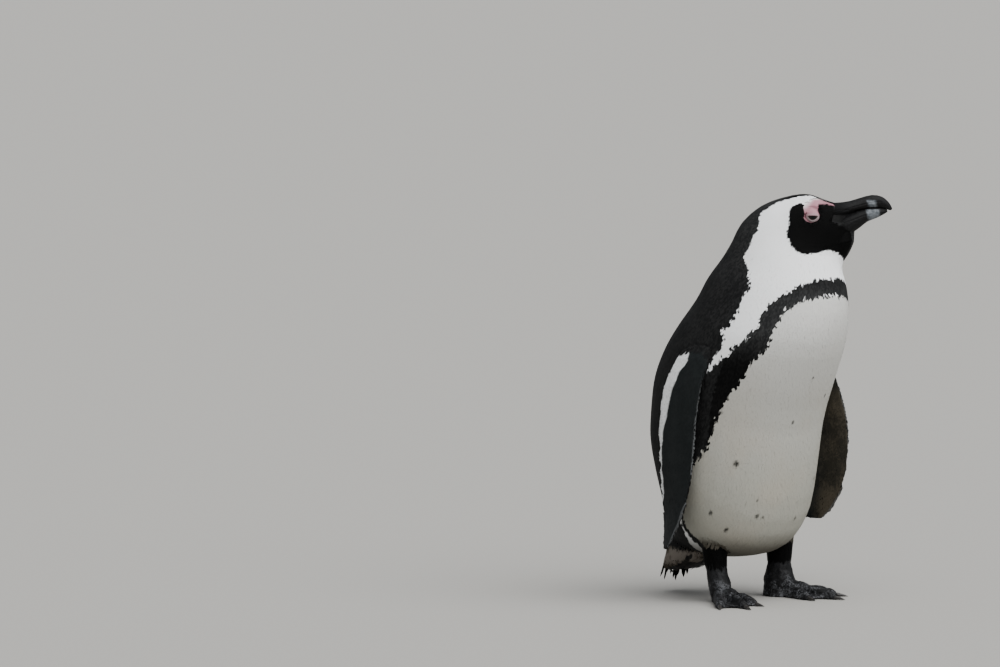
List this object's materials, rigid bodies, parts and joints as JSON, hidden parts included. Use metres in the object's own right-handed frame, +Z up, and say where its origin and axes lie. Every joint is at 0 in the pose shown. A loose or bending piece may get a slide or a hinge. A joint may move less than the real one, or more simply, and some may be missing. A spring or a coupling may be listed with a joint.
{
  "type": "african penguin",
  "caption": "Life-size standing African penguin, flippers at its sides, head turned to its left in profile: a still, museum-like model.",
  "frame": {"origin": "middle of the footprint of the bird's bounding box, on the floor under its soles", "axes": "+Z up; the breast faces -Y, so the bird's left flipper is on +X; the bill points 45 degrees to the bird's left of its breast, towards +X and -Y"},
  "size_m": [0.238, 0.233, 0.4293],
  "materials": {
    "plumage": "short dense feathers, black above and white below",
    "flipper": "tiny scale-like feathers, dark grey with a white rear edge",
    "horn": "smooth horn, black with a light grey bar",
    "eye": "wet, dark brown",
    "foot_skin": "black scaly skin",
    "claw": "black horn, satin"
  },
  "bodies": {
    "root": {"trunk": "plumage", "neck": "plumage", "head": "plumage", "tail": "plumage", "wing_right": "flipper", "wing_left": "flipper", "bill_upper": "horn", "bill_lower": "horn", "eye_left": "eye", "eye_right": "eye", "leg_left": "foot_skin", "foot_left": "foot_skin", "claw_left_inner": "claw", "claw_left_middle": "claw", "claw_left_outer": "claw", "leg_right": "foot_skin", "foot_right": "foot_skin", "claw_right_inner": "claw", "claw_right_middle": "claw", "claw_right_outer": "claw"}
  },
  "joints": []
}
